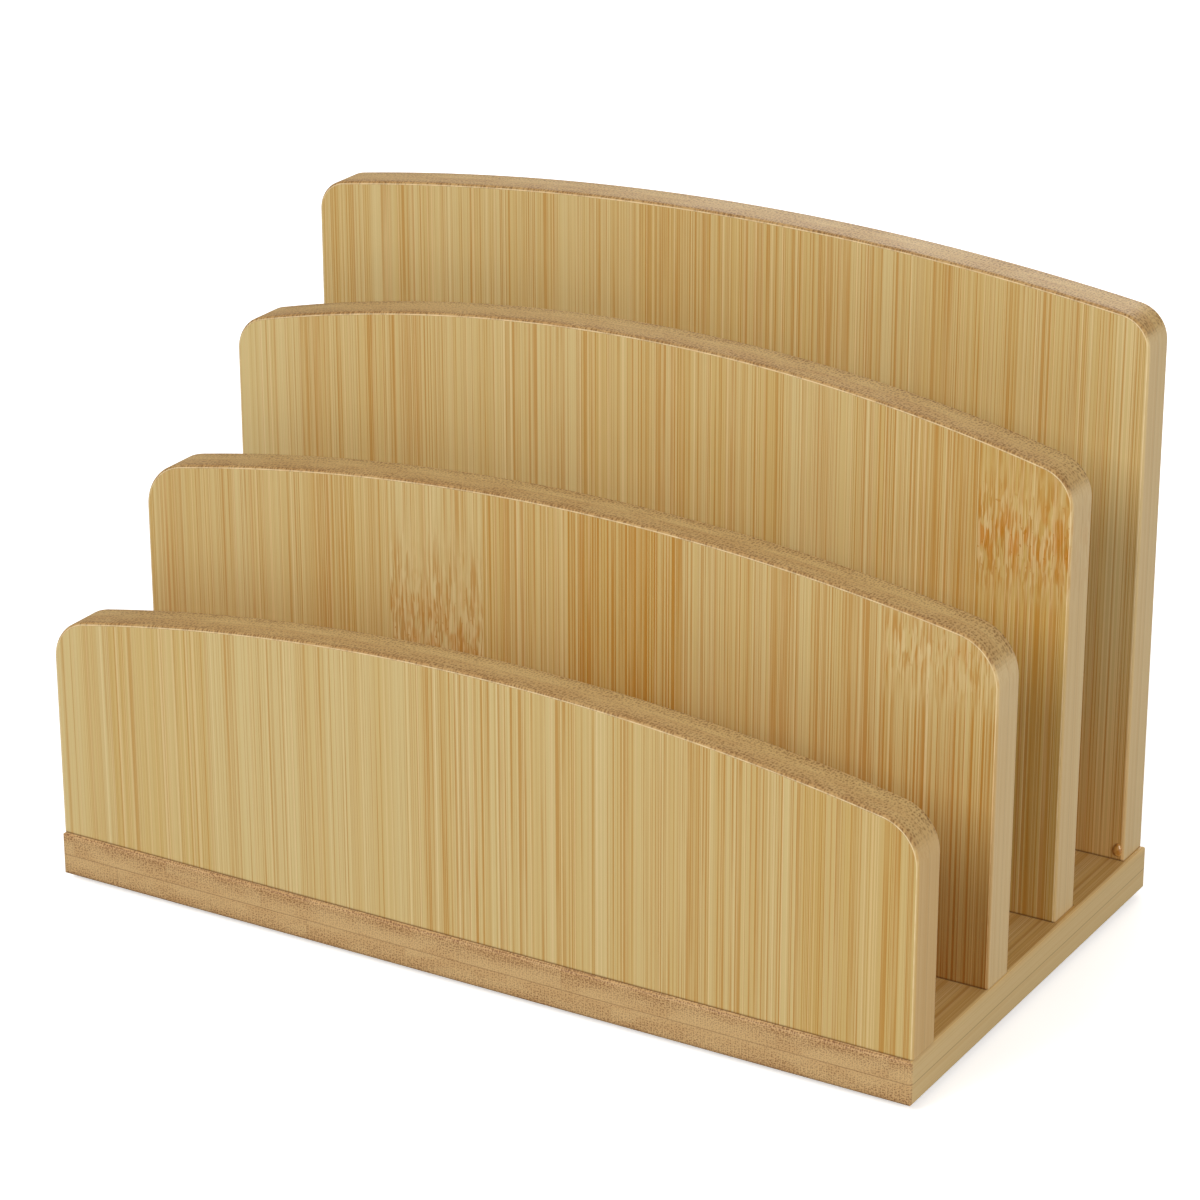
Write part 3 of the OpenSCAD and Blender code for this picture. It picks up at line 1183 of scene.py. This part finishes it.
@dataclass
class Studio:
    """Camera, floor and soft lights."""

    place: tuple[float, float, float] = (0.488186, -0.82436, 0.468364)
    yaw: float = 0.535
    pitch: float = 0.384
    roll: float = -0.002
    focal: float = 4032.3
    frame_width: float = 1200.0
    sensor: float = 36.0
    nearest: float = 0.05
    farthest: float = 50.0
    floor_half: float = 4.0
    floor_grey: Colour = (0.5, 0.5, 0.5)
    floor_white: Colour = (0.97, 0.97, 0.97)
    floor_glow: float = 0.5
    floor_roughness: float = 0.9
    floor_gloss: float = 0.1
    sky: tuple[float, ...] = (1.0, 0.995, 0.985, 1.0)
    sky_strength: float = 0.33
    sky_seen: float = 0.67
    aim: tuple[float, float, float] = (0.0, 0.0, 0.07)
    lamps: tuple[SoftLight, ...] = (
        SoftLight("key", (-0.7, -1.5, 1.3), 1.0, 22.8),
        SoftLight("fill", (1.55, -0.8, 0.55), 0.9, 13.4),
        SoftLight("overhead", (0.1, 0.5, 1.9), 1.0, 2.5),
        SoftLight("behind", (-0.5, 1.9, 1.1), 1.2, 16.0),
    )

    def camera(self) -> None:
        """Sets up the camera from yaw to the left, pitch down and roll."""
        forward = np.array(
            [
                -math.sin(self.yaw) * math.cos(self.pitch),
                math.cos(self.yaw) * math.cos(self.pitch),
                -math.sin(self.pitch),
            ]
        )
        right = np.array([math.cos(self.yaw), math.sin(self.yaw), 0.0])
        above = np.cross(right, forward)
        across = math.cos(self.roll) * right + math.sin(self.roll) * above
        upward = math.cos(self.roll) * above - math.sin(self.roll) * right
        turn = Matrix(np.column_stack([across, upward, -forward]).tolist()).to_4x4()
        data = bpy.data.cameras.new("camera")
        data.sensor_width = self.sensor
        data.lens = self.focal / self.frame_width * self.sensor
        data.clip_start, data.clip_end = self.nearest, self.farthest
        made = bpy.data.objects.new("camera", data)
        made.matrix_world = Matrix.Translation(self.place) @ turn
        bpy.context.scene.collection.objects.link(made)
        bpy.context.scene.camera = made

    def floor(self) -> None:
        """Lays a plain floor, 8 m square: white to the camera, and grey to the light on it."""
        half = self.floor_half
        corners = [(-half, -half, 0), (half, -half, 0), (half, half, 0), (-half, half, 0)]
        mesh = bpy.data.meshes.new("floor")
        mesh.from_pydata(corners, [], [(0, 1, 2, 3)])
        made = bpy.data.objects.new("floor", mesh)
        bpy.context.scene.collection.objects.link(made)
        material = bpy.data.materials.new("floor_paper")
        material.use_nodes = True
        shader = material.node_tree.nodes["Principled BSDF"]
        wire = Wiring(material.node_tree)
        seen = wire.node("LightPath").outputs["Is Camera Ray"]
        colour = wire.blend(seen, self.floor_grey, self.floor_white)
        wire.feed(shader.inputs["Base Color"], colour)
        shader.inputs["Emission Color"].default_value = (1.0, 1.0, 1.0, 1.0)
        wire.feed(shader.inputs["Emission Strength"], wire.times(seen, self.floor_glow))
        shader.inputs["Roughness"].default_value = self.floor_roughness
        shader.inputs["Specular IOR Level"].default_value = self.floor_gloss
        mesh.materials.append(material)

    def lights(self) -> None:
        """Hangs a key light at the front left, a fill at the right, one overhead, one behind."""
        world = bpy.data.worlds.new("studio")
        world.use_nodes = True
        sky = world.node_tree.nodes["Background"]
        sky.inputs["Color"].default_value = self.sky
        # The wall behind looks white, but lights the object no more than a pale room does
        wire = Wiring(world.node_tree)
        seen = wire.node("LightPath").outputs["Is Camera Ray"]
        wire.feed(sky.inputs["Strength"], wire.line(seen, self.sky_seen, self.sky_strength))
        bpy.context.scene.world = world
        for lamp in self.lamps:
            lamp.hang(self.aim)
        bpy.context.scene.view_settings.view_transform = "Standard"

    def build(self) -> None:
        """Sets up the whole studio."""
        self.camera()
        self.floor()
        self.lights()
        LOG.info("studio set up, lens %.1f mm", self.focal / self.frame_width * self.sensor)


def boards() -> list[Board]:
    """Lists the five boards with the strips, shades and rings of each.

    Returns:
        The boards, base first.
    """
    base = BaseBoard(
        "base_board",
        "base_bamboo",
        Axes.FRONT_TO_BACK,
        seed=3.1,
        strip_start=-107.0,
        strip_width=30.0,
        strips=(
            StripShade(-200.0, 0.3, 0.3),
            StripShade(-107.0, 0.45, 0.45),
            StripShade(-77.0, 0.3, 0.35),
            StripShade(-17.0, 0.45, 0.45),
            StripShade(43.0, 0.35, 0.4),
            StripShade(73.0, 0.45, 0.5),
        ),
        lower_ply=0.0,
        dot_depth=0.75,
        dot_size=1.0,
        shine=0.25,
        glue=0.5,
        pool=0.05,
        slot_side=1.0,
        ease=1.2,
        finish=replace(
            BambooFinish(),
            pale=linear(226, 197, 140),
            warm=linear(212, 164, 77),
            side=linear(214, 186, 134),
            end_pale=linear(210, 175, 122),
            end_dark=linear(184, 136, 83),
            dot=linear(118, 74, 38),
        ),
    )
    front = Board(
        "front_panel",
        "front_bamboo",
        Axes.UPRIGHT,
        seed=11.7,
        strip_start=-77.0,
        strip_width=30.2,
        finish=replace(BambooFinish(), side=linear(208, 172, 118)),
        strips=(
            StripShade(-200.0, 0.08, 0.2),
            StripShade(-107.0, 0.38, 0.25),
            StripShade(-77.0, 0.06, 0.4),
            StripShade(-46.0, 0.12, 0.5),
            StripShade(-16.0, 0.18, 0.6),
            StripShade(15.0, 0.2, 0.5),
            StripShade(45.0, 0.16, 0.5),
            StripShade(64.0, 0.22, 0.6),
            StripShade(94.0, 0.4, 0.6),
        ),
    )
    second = Board(
        "second_panel",
        "second_bamboo",
        Axes.UPRIGHT,
        seed=23.4,
        strip_start=-47.5,
        strip_width=28.2,
        # Strongest painted shade at the foot of its slot, with a deeper tint
        pool=1.0,
        finish=replace(BambooFinish(), slot_shade_tint=(0.79, 0.62, 0.44)),
        rings=(
            RingPlace(-47.5, -19.3, 62.0, 56.0, 8.0, 0.85),
            RingPlace(93.5, 126.0, 99.0, 16.0, 20.0, 0.6),
        ),
        strips=(
            StripShade(-200.0, 0.3, 0.5),
            StripShade(-103.9, 0.15, 0.45),
            StripShade(-75.7, 0.3, 0.5),
            StripShade(-47.5, 0.1, 0.4),
            StripShade(-19.3, 0.3, 0.55),
            StripShade(5.0, 0.45, 0.9),
            StripShade(38.0, 0.15, 0.6),
            StripShade(66.0, 0.15, 0.7),
            StripShade(93.5, 0.25, 0.8),
        ),
    )
    third = Board(
        "third_panel",
        "third_bamboo",
        Axes.UPRIGHT,
        seed=37.9,
        strip_start=98.0,
        strip_width=28.2,
        pool=0.15,
        rings=(RingPlace(98.0, 126.0, 113.0, 26.0, 20.0),),
        strips=(
            StripShade(-200.0, 0.05, 0.3),
            StripShade(-102.0, 0.25, 0.6),
            StripShade(-71.0, 0.15, 0.5),
            StripShade(-15.0, 0.3, 0.6),
            StripShade(42.0, 0.15, 0.5),
            StripShade(70.0, 0.3, 0.7),
            StripShade(98.0, 0.6, 0.6),
        ),
    )
    back = Board(
        "back_panel",
        "back_bamboo",
        Axes.UPRIGHT,
        seed=53.2,
        strip_start=-110.0,
        strip_width=28.2,
        pool=0.8,
        strips=(
            StripShade(-200.0, 0.22, 0.4),
            StripShade(-82.0, 0.15, 0.5),
            StripShade(-25.0, 0.3, 0.6),
            StripShade(31.0, 0.15, 0.5),
            StripShade(60.0, 0.3, 0.6),
            StripShade(88.0, 0.2, 0.5),
        ),
    )
    return [base, front, second, third, back]


def main() -> None:
    """Loads the frame, dresses it piece by piece and sets up the studio."""
    logging.basicConfig(level=logging.INFO, format="%(name)s: %(message)s")
    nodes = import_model()["nodes"]
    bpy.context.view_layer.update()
    for board in boards():
        board.dress(nodes)
    Hardware().dress(nodes)
    GlueBead().build()
    Studio().build()


if __name__ == "__main__":
    main()
